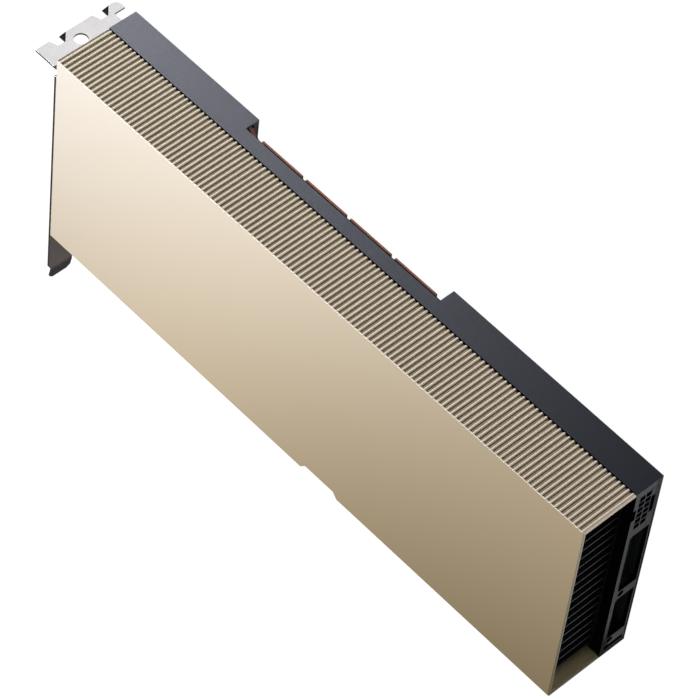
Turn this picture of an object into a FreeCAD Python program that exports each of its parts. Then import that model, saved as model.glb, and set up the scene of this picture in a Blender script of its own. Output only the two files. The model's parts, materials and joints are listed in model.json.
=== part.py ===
import FreeCAD, Part
import math
import os

# Passive accelerator card: a full-length, full-height, two-slot server card without a fan.
# Millimetres. While it is built, x runs from the bracket to the open far end, y runs from the
# cover's lower edge to its ribbed top wall, and z runs from the back plane to the cover's face.
# At the end every piece is moved so that the origin is the middle of the card's footprint.

# ---- whole card
card_length = 267.7
card_height = 98.2
card_thickness = 37.84
fit_gap = 0.15
through = 1.0

# ---- champagne cover: a face, a ribbed top wall and a plain bottom wall
cover_wall = 1.2
ribbed_wall = 1.96
rib_depth = 1.0
rib_pitch = 2.17
rib_crest_radius = 0.55
rib_lip = 0.5
rib_lip_drop = 0.12
seam_height = 0.4
seam_seat = 0.8
cover_bevel = 0.45
mouth_lip = 0.7
hook_count = 4
hook_width = 9.0
hook_drop = 2.8
hook_root = 1.7
hook_thickness = 0.8
latch_notch_start = 139.2
latch_notch_length = 19.9
latch_notch_flat = 14.8
latch_notch_height = 3.0
latch_notch_reach = 8.0

# ---- dark frame: a deck with four walls round the circuit board
frame_depth = 12.8
frame_wall = 1.2
deck_thickness = 1.0
end_wall = 1.5
frame_bevel = 0.1
link_notch_start = 66.3
link_notch_length = 99.9
link_notch_depth = 6.6
link_notch_drop = 10.2
link_web = 1.2
link_web_gap = 0.3

# ---- the frame's far end wall: heights from the lower edge, drops from the ribbed edge, depths from
# the back plane
vent_rows = 6
vent_columns = 2
vent_row_pitch = 3.13
vent_column_pitch = 3.2
vent_width = 2.7
vent_tallness = 2.55
vent_first_drop = 20.85
vent_first_depth = 6.0
end_slot_drop = 17.6
end_slot_length = 9.5
end_slot_width = 1.95
end_slot_depth = 2.3
end_notch_drop = 15.7
end_notch_length = 5.9
end_notch_depth = 1.6
opening_depth = 1.6
opening_top_gap = 1.9
upper_opening_height = 38.8
upper_opening_drop = 26.5
lower_opening_height = 9.9
lower_opening_length = 24.2
opening_corner = 1.0
foot_slot_height = 2.9
foot_slot_length = 2.2
extender_hole_radius = 1.45
extender_hole_depth = 8.8
lower_extender_height = 8.0
upper_extender_height = 36.6
extender_boss_radius = 1.9
extender_boss_length = 3.0

# ---- back plate
back_thickness = 1.2
back_edge_gap = 0.2
back_boss_radius = 3.0

# ---- circuit board
board_back = 2.67
board_thickness = 1.57
board_edge_gap = 0.8
board_top_gap = 1.5
board_end_gap = 3.2
post_radius = 2.6
low_post_row = 8.0
high_post_drop = 10.6
near_post_column = 8.0
second_post_column = 58.0
middle_post_column = 118.0
fourth_post_column = 174.0
far_post_gap = 29.7
board_screw_radius = 1.0
board_screw_head_radius = 2.1
board_screw_head = 1.0
board_screw_grip = 4.3
screw_sink = 0.1

# ---- edge connector of the board
key_distance = 57.15
key_width = 1.9
key_height = 8.0
contact_pitch = 1.0
contacts_before_key = 11
contacts_after_key = 71
key_to_contact = 1.5
tab_margin = 0.8
tab_drop = 12.9
tab_bevel = 0.3
tab_bevel_height = 1.2
hook_slot = 2.8
board_hook_width = 4.8
board_hook_drop = 6.0
contact_width = 0.7
contact_length = 4.6
contact_offset = 1.3
contact_thickness = 0.05

# ---- link connector tabs on the board's upper edge
link_tab_count = 4
link_tab_width = 20.5
link_tab_pitch = 22.83
link_tab_first = 72.3
link_tab_drop = 3.9
link_tab_height = 3.7
link_tab_bevel = 0.35
link_tab_bevel_height = 0.8
link_contact_count = 24
link_contact_pitch = 0.8
link_contact_width = 0.5
link_contact_length = 2.2
link_contact_inset = 1.1

# ---- processor package
package_offset = 15.85
package_size = 55.0
substrate_thickness = 1.6
die_length = 33.2
die_width = 24.6
die_thickness = 0.8
memory_length = 10.4
memory_width = 10.0
memory_gap = 0.5
memory_per_side = 3
stiffener_border = 3.2
stiffener_inset = 0.5
stiffener_thickness = 0.9
paste_thickness = 0.16
paste_overlap = 0.3

# ---- heat sink
chamber_start = 46.0
chamber_end_gap = 45.7
chamber_low = 14.0
chamber_top_gap = 14.2
chamber_thickness = 3.0
pedestal_overlap = 0.8
pillar_span_x = 66.0
pillar_edge = 4.0
pillar_radius = 2.5
pillar_gap = 0.3
sink_screw_radius = 1.0
sink_screw_head_radius = 2.2
sink_screw_head = 1.1
sink_screw_grip = 3.4
fin_base_thickness = 0.8
fin_side_gap = 0.5
fin_near_gap = 3.0
fin_recess = 4.43
fin_pitch = 5.09
fin_thickness = 0.5
fin_first = 5.85
fin_top_gap = 0.3

# ---- spring plate behind the board
spring_thickness = 1.2
spring_arm = 9.0
spring_hub_radius = 17.0
spring_window_radius = 9.0

# ---- parts on the board
inductor_size = 7.0
inductor_chamfer = 0.7
pad_thickness = 0.56
inductors_per_bank = 6
bank_margin = 1.4
inductor_distance = 52.0
stage_length = 6.0
stage_width = 5.0
stage_height = 0.9
stage_gap = 3.0
pad_width = 6.4
capacitor_length = 7.3
capacitor_width = 4.3
capacitor_height = 2.8
capacitor_count = 6
capacitor_pitch = 9.0
capacitor_distance = 15.0
capacitor_low = 22.0
ceramic_length = 1.6
ceramic_width = 0.8
ceramic_height = 0.8
ceramic_count = 14
ceramic_pitch = 3.6
ceramic_distance = 31.5
filter_size = 10.0
filter_height = 4.8
filter_distance = 16.0
filter_pitch = 13.0
filter_count = 2
filter_low = 46.0
controller_size = 12.0
controller_height = 1.2
controller_distance = 18.5
controller_y = 66.0
memory_chip_length = 6.0
memory_chip_width = 5.0
memory_chip_height = 0.9
memory_chip_gap = 6.0
regulator_size = 7.0
regulator_height = 0.9
regulator_y = 28.0

# ---- power connector, four by two ways, let into the board's far edge
ways = 4
way_rows = 2
way_pitch = 4.2
way_size = 3.4
way_depth = 8.0
housing_length = 12.8
housing_end_gap = 4.4
housing_wall = 1.05
housing_side_gap = 0.35
housing_rim = 0.35
room_gap = 0.3
ear_width = 1.8
ear_length = 7.0
ear_height = 1.2
latch_length = 3.0
latch_width = 5.0
latch_height = 0.7
pin_size = 1.1
pin_tip_gap = 2.3
tail_reach = 4.6
tail_step = 1.9
tail_lift = 0.35

# ---- bracket, a bent steel sheet two slots wide
sheet = 0.86
bend_radius = 0.5
bracket_width = 38.6
bracket_below_back = 1.0
slot_pitch = 20.32
flange_drop = 4.5
flange_length = 11.43
flange_relief_width = 7.1
flange_relief_depth = 5.0
flange_corner = 2.4
neck_height = 4.6
neck_relief = 1.5
flange_notch_mouth = 6.4
flange_notch_width = 3.4
flange_notch_lead = 1.2
flange_notch_depth = 3.6
coined_length = 3.2
coined_fall = 0.6
flange_hole_radius = 2.75
flange_hole_inset = 5.3
flange_hole_place = 16.2
plate_bottom = 19.2
plate_corner = 1.45
plate_corner_height = 2.9
foot_bottom = 28.5
foot_width = 10.2
foot_corner = 1.6
foot_bend_height = 5.6
foot_bend_offset = 1.1
grille_pitch = 4.9
grille_hole_radius = 2.15
grille_border = 4.6
bracket_screw_count = 3
bracket_screw_radius = 1.0
bracket_screw_head_radius = 2.6
bracket_screw_head = 1.4
bracket_screw_depth = 7.4
bracket_screw_margin = 14.0
bracket_boss_radius = 2.2
bracket_boss_length = 4.0
near_window_depth = 5.2
near_window_width = 5.0
near_window_border = 4.0

# ---- places that follow from the sizes above
cover_face = card_thickness - cover_wall
cover_ceiling = card_height - ribbed_wall
deck_under = frame_depth - deck_thickness
frame_ceiling = card_height - frame_wall
far_wall = card_length - end_wall
board_front = board_back + board_thickness
board_far = card_length - board_end_gap - end_wall
board_top = card_height - frame_wall - board_top_gap
vent_first_height = card_height - vent_first_drop
end_slot_height = card_height - end_slot_drop
end_notch_height = card_height - end_notch_drop
opening_width = frame_depth - opening_depth - opening_top_gap
upper_opening_length = card_height - upper_opening_drop - upper_opening_height
high_post_row = card_height - high_post_drop
far_post_column = card_length - far_post_gap
link_notch_end = link_notch_start + link_notch_length
link_notch_floor = card_height - link_notch_drop
link_tab_top = card_height - link_tab_drop
link_edge = link_tab_top - link_tab_height
tab_start = key_distance - key_to_contact - (contacts_before_key - 1) * contact_pitch - tab_margin
tab_end = key_distance + key_to_contact + (contacts_after_key - 1) * contact_pitch + tab_margin
board_hook_start = tab_end + hook_slot
board_hook_end = board_hook_start + board_hook_width
substrate_top = board_front + substrate_thickness
die_top = substrate_top + die_thickness
paste_top = die_top + paste_thickness
chamber_end = card_length - chamber_end_gap
chamber_high = card_height - chamber_top_gap
chamber_under = frame_depth - chamber_thickness
package_x = card_length / 2 - package_offset
package_y = (chamber_low + chamber_high) / 2
pillar_span_y = chamber_high - chamber_low - 2 * pillar_edge
inductor_height = chamber_under - board_front - pad_thickness
bank_low = chamber_low + bank_margin
bank_high = chamber_high - bank_margin
stage_distance = inductor_distance + inductor_size / 2 + stage_gap + stage_width / 2
controller_x = package_x + stage_distance + stage_width / 2 + controller_distance
capacitor_x = controller_x + capacitor_distance
filter_x = capacitor_x + filter_distance
fin_base_top = frame_depth + fin_base_thickness
fin_low = cover_wall + hook_thickness + fit_gap + fin_side_gap
fin_high = cover_ceiling - fin_side_gap
fin_end = card_length - fin_recess
fin_tip = cover_face - fin_top_gap
housing_end = far_wall - housing_end_gap
housing_start = housing_end - housing_length
housing_width = ways * way_pitch + 2 * housing_wall
housing_y = lower_opening_height + lower_opening_length / 2
housing_tall = way_rows * way_pitch + 2 * housing_rim
housing_z = opening_depth + opening_width / 2
bracket_front = bracket_width - bracket_below_back
flange_top = card_height - flange_drop


def block(x0, x1, y0, y1, z0, z1):
    return Part.makeBox(x1 - x0, y1 - y0, z1 - z0, FreeCAD.Vector(x0, y0, z0))


def rod(x, y, z0, z1, radius):
    return Part.makeCylinder(radius, z1 - z0, FreeCAD.Vector(x, y, z0), FreeCAD.Vector(0, 0, 1))


def rod_along_x(x0, x1, y, z, radius):
    return Part.makeCylinder(radius, x1 - x0, FreeCAD.Vector(x0, y, z), FreeCAD.Vector(1, 0, 0))


def prism(corners, push):
    """A flat outline of straight edges, pushed along a vector into a solid."""
    points = [FreeCAD.Vector(*corner) for corner in corners]
    wire = Part.makePolygon(points + points[:1])
    return Part.Face(wire).extrude(FreeCAD.Vector(*push))


def plan_prism(corners, z0, z1):
    return prism([(x, y, z0) for x, y in corners], (0, 0, z1 - z0))


def end_prism(corners, x0, x1):
    """An outline of (y, z) corners pushed along x."""
    return prism([(x0, y, z) for y, z in corners], (x1 - x0, 0, 0))


def joined(shapes):
    first, rest = shapes[0], list(shapes[1:])
    return first.fuse(rest).removeSplitter() if rest else first


def spread(count, low, high):
    """Places of count copies, evenly spaced with half a step at either end."""
    step = (high - low) / count
    return [low + step * (index + 0.5) for index in range(count)]


def row_about(middle, pitch, count):
    return [middle + pitch * (index - (count - 1) / 2) for index in range(count)]


def post_places():
    """Board screws: every column on both rows, but none on the upper row behind the link notch."""
    columns = (near_post_column, second_post_column, middle_post_column, fourth_post_column, far_post_column)
    places = [(x, low_post_row) for x in columns]
    clear = post_radius + link_web
    for x in columns:
        if not link_notch_start - clear < x < link_notch_end + clear:
            places.append((x, high_post_row))
    return places


def pillar_places():
    return [(package_x + sx * pillar_span_x / 2, package_y + sy * pillar_span_y / 2)
            for sx in (-1, 1) for sy in (-1, 1)]


def hook_places():
    return spread(hook_count, 0, card_length)


def connector_room():
    """The space kept clear round the power connector by the frame's deck and the back plate."""
    half_y, half_z = housing_width / 2 + housing_side_gap, housing_tall / 2 + room_gap
    return block(housing_start - housing_side_gap, housing_end + housing_side_gap, housing_y - half_y,
                 housing_y + half_y, housing_z - half_z, housing_z + half_z + latch_height)


def bracket_screw_places():
    """Heights of the bracket's screws, all on the frame's middle depth."""
    low, high = bracket_screw_margin, card_height - bracket_screw_margin
    step = (high - low) / (bracket_screw_count - 1)
    return [low + step * index for index in range(bracket_screw_count)]


# ---------------------------------------------------------------- cover

def ribbed_outline():
    """Edges of the top wall's section: round valleys and crests in turn, a flat rim, then a flat back."""
    count = int(card_length // rib_pitch)
    valley_width = rib_pitch - 2 * rib_crest_radius
    shoulder = card_height - rib_crest_radius
    valley = card_height - rib_depth
    start = FreeCAD.Vector(0, shoulder, 0)
    foot = start
    edges = []
    for index in range(count):
        low = FreeCAD.Vector(foot.x + valley_width / 2, valley, 0)
        rise = FreeCAD.Vector(foot.x + valley_width, shoulder, 0)
        edges.append(Part.Arc(foot, low, rise).toShape())
        crest = FreeCAD.Vector(rise.x + rib_crest_radius, card_height, 0)
        foot = FreeCAD.Vector(rise.x + 2 * rib_crest_radius, shoulder, 0)
        if index < count - 1:
            edges.append(Part.Arc(rise, crest, foot).toShape())
    turn = rib_crest_radius * math.sqrt(0.5)
    flank = FreeCAD.Vector(crest.x - turn, shoulder + turn, 0)
    edges.append(Part.Arc(rise, flank, crest).toShape())
    corners = [crest, FreeCAD.Vector(card_length, card_height, 0),
               FreeCAD.Vector(card_length, cover_ceiling, 0), FreeCAD.Vector(0, cover_ceiling, 0), start]
    for one, two in zip(corners[:-1], corners[1:]):
        edges.append(Part.makeLine(one, two))
    return edges


def make_ribbed_wall():
    face = Part.Face(Part.Wire(ribbed_outline()))
    bottom = frame_depth + seam_height
    face.translate(FreeCAD.Vector(0, 0, bottom))
    return face.extrude(FreeCAD.Vector(0, 0, card_thickness - bottom))


def latch_notch():
    """The trapezoid cut in the cover's lower edge, over the slot's card latch."""
    slope = (latch_notch_length - latch_notch_flat) / 2
    end = latch_notch_start + latch_notch_length
    low = -cover_wall
    run = slope * cover_wall / latch_notch_height
    corners = [(latch_notch_start - run, low), (end + run, low), (end - slope, latch_notch_height),
               (latch_notch_start + slope, latch_notch_height)]
    return plan_prism(corners, card_thickness - latch_notch_reach, card_thickness + cover_wall)


def cover_bevels():
    """Wedges that take the sharp edge off the face at both ends and along its lower edge."""
    b = cover_bevel
    top = card_thickness
    near = prism([(0, 0, top - b), (0, 0, top), (b, 0, top)], (0, card_height, 0))
    far = prism([(card_length, 0, top - b), (card_length, 0, top), (card_length - b, 0, top)],
                (0, card_height, 0))
    lower = end_prism([(0, top - b), (0, top), (b, top)], 0, card_length)
    return [near, far, lower]


def mouth_chamfers():
    """Wedges that thin the three walls to a lip inside the open far end."""
    cuts = []
    for inner, outer in ((cover_ceiling, card_height - mouth_lip), (cover_wall, mouth_lip)):
        run = abs(outer - inner)
        corners = [(card_length - run, inner), (card_length, inner), (card_length, outer)]
        cuts.append(plan_prism(corners, frame_depth, card_thickness - mouth_lip))
    run = cover_wall - mouth_lip
    corners = [(card_length - run, mouth_lip, cover_face), (card_length, mouth_lip, cover_face),
               (card_length, mouth_lip, cover_face + run)]
    cuts.append(prism(corners, (0, card_height - 2 * mouth_lip, 0)))
    return cuts


def make_cover():
    seat = block(0, card_length, cover_ceiling, cover_ceiling + seam_seat,
                 frame_depth, frame_depth + seam_height)
    face = block(0, card_length, 0, cover_ceiling, cover_face, card_thickness)
    bottom = block(0, card_length, 0, cover_wall, frame_depth, card_thickness)
    lip = block(0, card_length, cover_ceiling, card_height - rib_lip_drop, card_thickness - rib_lip,
                card_thickness)
    pieces = [make_ribbed_wall(), seat, face, bottom, lip]
    for x in hook_places():
        low, high = x - hook_width / 2, x + hook_width / 2
        top_hook = block(low, high, cover_ceiling, frame_ceiling - fit_gap,
                         frame_depth - hook_drop, frame_depth + seam_height)
        inner = cover_wall + fit_gap
        root = block(low, high, cover_wall, inner + hook_thickness, frame_depth, frame_depth + hook_root)
        low_hook = block(low, high, inner, inner + hook_thickness, frame_depth - hook_drop, frame_depth)
        pieces += [top_hook, root, low_hook]
    return joined(pieces).cut([latch_notch()] + cover_bevels() + mouth_chamfers())


# ---------------------------------------------------------------- frame and back

def end_wall_cuts():
    """Everything that goes through the far end wall: vents, slots, the two openings and the notch."""
    x0, x1 = far_wall - end_wall, card_length + end_wall
    cuts = []
    for row in range(vent_rows):
        for column in range(vent_columns):
            y = vent_first_height + row * vent_row_pitch
            z = vent_first_depth + column * vent_column_pitch
            cuts.append(block(x0, x1, y - vent_tallness / 2, y + vent_tallness / 2,
                              z - vent_width / 2, z + vent_width / 2))
    cuts.append(block(x0, x1, end_slot_height, end_slot_height + end_slot_length,
                      end_slot_depth, end_slot_depth + end_slot_width))
    cuts.append(block(x0, x1, end_notch_height, end_notch_height + end_notch_length,
                      frame_depth - end_notch_depth, frame_depth + end_wall))
    cuts.append(block(x0, x1, foot_slot_height, foot_slot_height + foot_slot_length,
                      opening_depth, opening_depth + opening_width))
    for low, length in ((upper_opening_height, upper_opening_length),
                        (lower_opening_height, lower_opening_length)):
        high = low + length
        z0, z1, c = opening_depth, opening_depth + opening_width, opening_corner
        cuts.append(end_prism([(low, z0), (high, z0), (high, z1 - c), (high - c, z1),
                               (low + c, z1), (low, z1 - c)], x0, x1))
    return cuts


def extender_places():
    return [(lower_extender_height, extender_hole_depth), (upper_extender_height, extender_hole_depth)]


def make_frame_shell():
    deck = block(0, card_length, 0, card_height, deck_under, frame_depth)
    top = block(0, card_length, frame_ceiling, card_height, 0, frame_depth)
    bottom = block(0, card_length, 0, frame_wall, 0, frame_depth)
    near = block(0, frame_wall, 0, card_height, 0, frame_depth)
    far = block(far_wall, card_length, 0, card_height, 0, frame_depth)
    shell = joined([deck, top, bottom, near, far])
    notch = block(link_notch_start, link_notch_end, frame_ceiling - through, card_height + through,
                  -through, link_notch_depth)
    tab_way = block(tab_start - frame_wall, board_hook_end + frame_wall, -through, frame_wall + through,
                    -through, board_front + frame_wall)
    window = block(chamber_start - fit_gap, chamber_end + fit_gap, chamber_low - fit_gap,
                   chamber_high + fit_gap, deck_under - through, frame_depth + through)
    b = frame_bevel
    bevel = end_prism([(card_height, 0), (card_height - b, 0), (card_height, b)], 0, card_length)
    return shell.cut([notch, tab_way, window, bevel])


def near_wall_cuts():
    """Air windows in the frame's near wall, one between each pair of bracket screws."""
    places = bracket_screw_places()
    cuts = []
    for low, high in zip(places[:-1], places[1:]):
        cuts.append(block(-through, frame_wall + through, low + near_window_border, high - near_window_border,
                          near_window_depth, near_window_depth + near_window_width))
    return cuts


def hook_slots():
    cuts = []
    for x in hook_places():
        low, high = x - hook_width / 2 - fit_gap, x + hook_width / 2 + fit_gap
        cuts.append(block(low, high, cover_ceiling - fit_gap, frame_ceiling,
                          deck_under - through, frame_depth + through))
        cuts.append(block(low, high, frame_wall, cover_wall + 2 * fit_gap + hook_thickness,
                          deck_under - through, frame_depth + through))
    return cuts


def make_frame():
    pieces = [make_frame_shell()]
    for x, y in post_places():
        pieces.append(rod(x, y, board_front, frame_depth, post_radius))
    web_top = board_back - link_web_gap
    for x in (link_notch_start - link_web, link_notch_end):
        pieces.append(block(x, x + link_web, link_notch_floor, card_height - frame_bevel, 0, web_top))
    for y in bracket_screw_places():
        pieces.append(rod_along_x(0, bracket_boss_length, y, bracket_screw_depth, bracket_boss_radius))
    for y, z in extender_places():
        pieces.append(rod_along_x(card_length - extender_boss_length, card_length, y, z,
                                  extender_boss_radius))
    cuts = end_wall_cuts() + near_wall_cuts() + hook_slots() + [connector_room()]
    for x, y in post_places():
        cuts.append(rod(x, y, board_front - through, board_front + board_screw_grip + fit_gap,
                        board_screw_radius + fit_gap / 3))
    for y in bracket_screw_places():
        cuts.append(rod_along_x(-through, bracket_boss_length + through, y, bracket_screw_depth,
                                bracket_screw_radius + fit_gap / 3))
    for y, z in extender_places():
        cuts.append(rod_along_x(card_length - extender_boss_length - through, card_length + through, y, z,
                                extender_hole_radius))
    return joined(pieces).cut(cuts)


def make_back_plate():
    gap = back_edge_gap
    plate = block(frame_wall + gap, far_wall - gap, frame_wall + gap, frame_ceiling - gap, 0, back_thickness)
    notch = block(link_notch_start - link_web - gap, link_notch_end + link_web + gap,
                  link_notch_floor - gap, card_height, -through, back_thickness + through)
    pieces = [plate.cut(notch)]
    for x, y in post_places():
        pieces.append(rod(x, y, 0, board_back, back_boss_radius))
    cuts = [connector_room()]
    for x, y in post_places():
        cuts.append(rod(x, y, -through, board_back + through, board_screw_radius + fit_gap))
        cuts.append(rod(x, y, -through, screw_sink + board_screw_head, board_screw_head_radius + fit_gap))
    for x, y in pillar_places():
        cuts.append(rod(x, y, -through, back_thickness + through, sink_screw_head_radius + 2 * fit_gap))
    return joined(pieces).cut(cuts)


def make_back_screws():
    screws = []
    for x, y in post_places():
        top = screw_sink + board_screw_head
        head = rod(x, y, screw_sink, top, board_screw_head_radius)
        shank = rod(x, y, top, board_front + board_screw_grip, board_screw_radius)
        socket = rod(x, y, screw_sink - through, screw_sink + board_screw_head / 2, board_screw_radius)
        screws.append(head.fuse(shank).cut(socket))
    return Part.makeCompound(screws)


# ---------------------------------------------------------------- circuit board

def board_outline():
    """Corners of the bare board, with the edge tab below and the link edge above."""
    near = frame_wall + board_edge_gap
    low = frame_wall + board_edge_gap
    link_start = link_tab_first - link_web
    notch_x = housing_start - housing_side_gap
    notch_low = housing_y - housing_width / 2 - housing_side_gap
    notch_high = housing_y + housing_width / 2 + housing_side_gap
    return [(near, low), (tab_start, low), (tab_start, -tab_drop), (tab_end, -tab_drop), (tab_end, low),
            (board_hook_start, low), (board_hook_start, -board_hook_drop),
            (board_hook_end, -board_hook_drop), (board_hook_end, low),
            (board_far, low), (board_far, notch_low), (notch_x, notch_low), (notch_x, notch_high),
            (board_far, notch_high), (board_far, board_top), (link_notch_end, board_top),
            (link_notch_end, link_edge), (link_start, link_edge), (link_notch_start, board_top),
            (near, board_top)]


def link_tab_starts():
    return [link_tab_first + index * link_tab_pitch for index in range(link_tab_count)]


def tab_edge_bevels():
    """The edge tab's lower edge is bevelled on both faces so that it enters the slot."""
    low, high = -tab_drop, -tab_drop + tab_bevel_height
    front = end_prism([(low, board_front), (high, board_front), (low, board_front - tab_bevel)],
                      tab_start, tab_end)
    back = end_prism([(low, board_back), (low, board_back + tab_bevel), (high, board_back)],
                     tab_start, tab_end)
    return [front, back]


def link_tab_bevels():
    """The long bevels on both faces of every link tab."""
    low, high = link_tab_top - link_tab_bevel_height, link_tab_top
    start, end = link_tab_first - through, link_notch_end
    front = end_prism([(high, board_front), (low, board_front), (high, board_front - link_tab_bevel)],
                      start, end)
    back = end_prism([(high, board_back), (high, board_back + link_tab_bevel), (low, board_back)],
                     start, end)
    return [front, back]


def make_board():
    board = plan_prism(board_outline(), board_back, board_front)
    tabs = [block(x, x + link_tab_width, link_edge, link_tab_top, board_back, board_front)
            for x in link_tab_starts()]
    cuts = [block(key_distance - key_width / 2, key_distance + key_width / 2, -tab_drop - through,
                  -tab_drop + key_height, board_back - through, board_front + through)]
    cuts += tab_edge_bevels()
    for x, y in post_places():
        cuts.append(rod(x, y, board_back - through, board_front + through, board_screw_radius + fit_gap))
    for x, y in pillar_places():
        cuts.append(rod(x, y, board_back - through, board_front + through, sink_screw_radius + fit_gap))
    return joined([board] + tabs).cut(cuts + link_tab_bevels())


def edge_contact_centres():
    before = [key_distance - key_to_contact - index * contact_pitch for index in range(contacts_before_key)]
    after = [key_distance + key_to_contact + index * contact_pitch for index in range(contacts_after_key)]
    return before + after


def make_edge_contacts(z):
    low = -tab_drop + contact_offset
    half = contact_width / 2
    return Part.makeCompound([block(x - half, x + half, low, low + contact_length, z, z + contact_thickness)
                              for x in edge_contact_centres()])


def make_link_contacts(z):
    high = link_tab_top - link_contact_inset
    pads = []
    for start in link_tab_starts():
        for x in row_about(start + link_tab_width / 2, link_contact_pitch, link_contact_count):
            half = link_contact_width / 2
            pads.append(block(x - half, x + half, high - link_contact_length, high, z, z + contact_thickness))
    return Part.makeCompound(pads)


# ---------------------------------------------------------------- processor package

def centred(length, width, z0, z1):
    """A block centred on the package."""
    return block(package_x - length / 2, package_x + length / 2,
                 package_y - width / 2, package_y + width / 2, z0, z1)


def memory_reach():
    """Distance across the die and the memory stacks on either side of it."""
    return die_width + 2 * (memory_gap + memory_width)


def make_memory_stacks():
    stacks = []
    for side in (-1, 1):
        middle = package_x + side * (die_width / 2 + memory_gap + memory_width / 2)
        for y in row_about(package_y, memory_length + memory_gap, memory_per_side):
            stacks.append(block(middle - memory_width / 2, middle + memory_width / 2,
                                y - memory_length / 2, y + memory_length / 2, substrate_top, die_top))
    return stacks


def make_stiffener():
    outer = package_size - 2 * stiffener_inset
    inner = outer - 2 * stiffener_border
    top = substrate_top + stiffener_thickness
    ring = centred(outer, outer, substrate_top, top)
    return ring.cut(centred(inner, inner, substrate_top - through, top + through))


def make_paste():
    return centred(memory_reach() + paste_overlap, die_length + paste_overlap, die_top, paste_top)


# ---------------------------------------------------------------- heat sink

def make_vapour_chamber():
    plate = block(chamber_start, chamber_end, chamber_low, chamber_high, chamber_under, frame_depth)
    pedestal = centred(memory_reach() + pedestal_overlap, die_length + pedestal_overlap,
                       paste_top, chamber_under)
    pillars = [rod(x, y, board_front + pillar_gap, chamber_under, pillar_radius) for x, y in pillar_places()]
    holes = [rod(x, y, board_front, board_front + sink_screw_grip + fit_gap, sink_screw_radius + fit_gap / 3)
             for x, y in pillar_places()]
    return joined([plate, pedestal] + pillars).cut(holes)


def make_fin_base():
    return block(fin_near_gap, fin_end, fin_low, fin_high, frame_depth, fin_base_top)


def make_fins():
    """Straight fins from end to end, as many as fit between the cover's two walls."""
    count = int((fin_high - fin_first - fin_thickness / 2) // fin_pitch) + 1
    fins = []
    for index in range(count):
        y = fin_first + index * fin_pitch
        fins.append(block(fin_near_gap, fin_end, y - fin_thickness / 2, y + fin_thickness / 2,
                          fin_base_top, fin_tip))
    return Part.makeCompound(fins)


def make_spring_plate():
    """A cross of sprung steel: one arm to each heat sink screw, with a round hub and window."""
    bottom, top = board_back - spring_thickness, board_back
    pieces = [rod(package_x, package_y, bottom, top, spring_hub_radius)]
    for x, y in pillar_places():
        dx, dy = x - package_x, y - package_y
        reach = math.hypot(dx, dy)
        ux, uy = dx / reach, dy / reach
        half = spring_arm / 2
        corners = [(package_x - uy * half, package_y + ux * half),
                   (package_x + uy * half, package_y - ux * half),
                   (x + uy * half, y - ux * half), (x - uy * half, y + ux * half)]
        pieces.append(plan_prism(corners, bottom, top))
        pieces.append(rod(x, y, bottom, top, half))
    cuts = [rod(package_x, package_y, bottom - through, top + through, spring_window_radius)]
    cuts += [rod(x, y, bottom - through, top + through, sink_screw_radius + fit_gap)
             for x, y in pillar_places()]
    return joined(pieces).cut(cuts)


def make_sink_screws():
    seat = board_back - spring_thickness
    screws = []
    for x, y in pillar_places():
        head = rod(x, y, seat - sink_screw_head, seat, sink_screw_head_radius)
        shank = rod(x, y, seat, board_front + sink_screw_grip, sink_screw_radius)
        socket = rod(x, y, seat - sink_screw_head - through, seat - sink_screw_head / 2, sink_screw_radius)
        screws.append(head.fuse(shank).cut(socket))
    return Part.makeCompound(screws)


# ---------------------------------------------------------------- parts on the board

def on_board(x, y, length, width, height):
    return block(x - length / 2, x + length / 2, y - width / 2, y + width / 2,
                 board_front, board_front + height)


def bank_rows():
    return spread(inductors_per_bank, bank_low, bank_high)


def make_inductors():
    """Two banks of power inductors, one on either side of the package."""
    coils = []
    for side in (-1, 1):
        for y in bank_rows():
            body = on_board(package_x + side * inductor_distance, y, inductor_size, inductor_size,
                            inductor_height)
            upright = [edge for edge in body.Edges if abs(edge.tangentAt(edge.FirstParameter).z) > 0.9]
            coils.append(body.makeChamfer(inductor_chamfer, upright))
    return coils


def make_thermal_pads():
    """A soft strip over each bank of inductors, up to the vapour chamber."""
    rows = bank_rows()
    low, high = rows[0] - pad_width / 2, rows[-1] + pad_width / 2
    pads = []
    for side in (-1, 1):
        x = package_x + side * inductor_distance
        pads.append(block(x - pad_width / 2, x + pad_width / 2, low, high,
                          board_front + inductor_height, chamber_under))
    return pads


def make_power_stages():
    return Part.makeCompound([on_board(package_x + side * stage_distance, y, stage_width, stage_length,
                                       stage_height)
                              for side in (-1, 1)
                              for y in bank_rows()])


def make_capacitors():
    return Part.makeCompound([on_board(capacitor_x, capacitor_low + index * capacitor_pitch,
                                       capacitor_length, capacitor_width, capacitor_height)
                              for index in range(capacitor_count)])


def make_ceramics():
    return Part.makeCompound([on_board(package_x + side * ceramic_distance, y, ceramic_length, ceramic_width,
                                       ceramic_height)
                              for side in (-1, 1)
                              for y in row_about(package_y, ceramic_pitch, ceramic_count)])


def make_filters():
    return Part.makeCompound([on_board(filter_x, filter_low + index * filter_pitch, filter_size, filter_size,
                                       filter_height)
                              for index in range(filter_count)])


def make_controller():
    return on_board(controller_x, controller_y, controller_size, controller_size, controller_height)


def make_memory_chip():
    y = controller_y - controller_size / 2 - memory_chip_gap
    return on_board(controller_x, y, memory_chip_length, memory_chip_width, memory_chip_height)


def make_regulator():
    return on_board(controller_x, regulator_y, regulator_size, regulator_size, regulator_height)


# ---------------------------------------------------------------- power connector

def square_run(points, y):
    """A square wire laid along points given as (x, z), all at one height y."""
    half = pin_size / 2
    pieces = []
    for (x0, z0), (x1, z1) in zip(points[:-1], points[1:]):
        pieces.append(block(min(x0, x1) - half, max(x0, x1) + half, y - half, y + half,
                            min(z0, z1) - half, max(z0, z1) + half))
    return joined(pieces)


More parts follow.
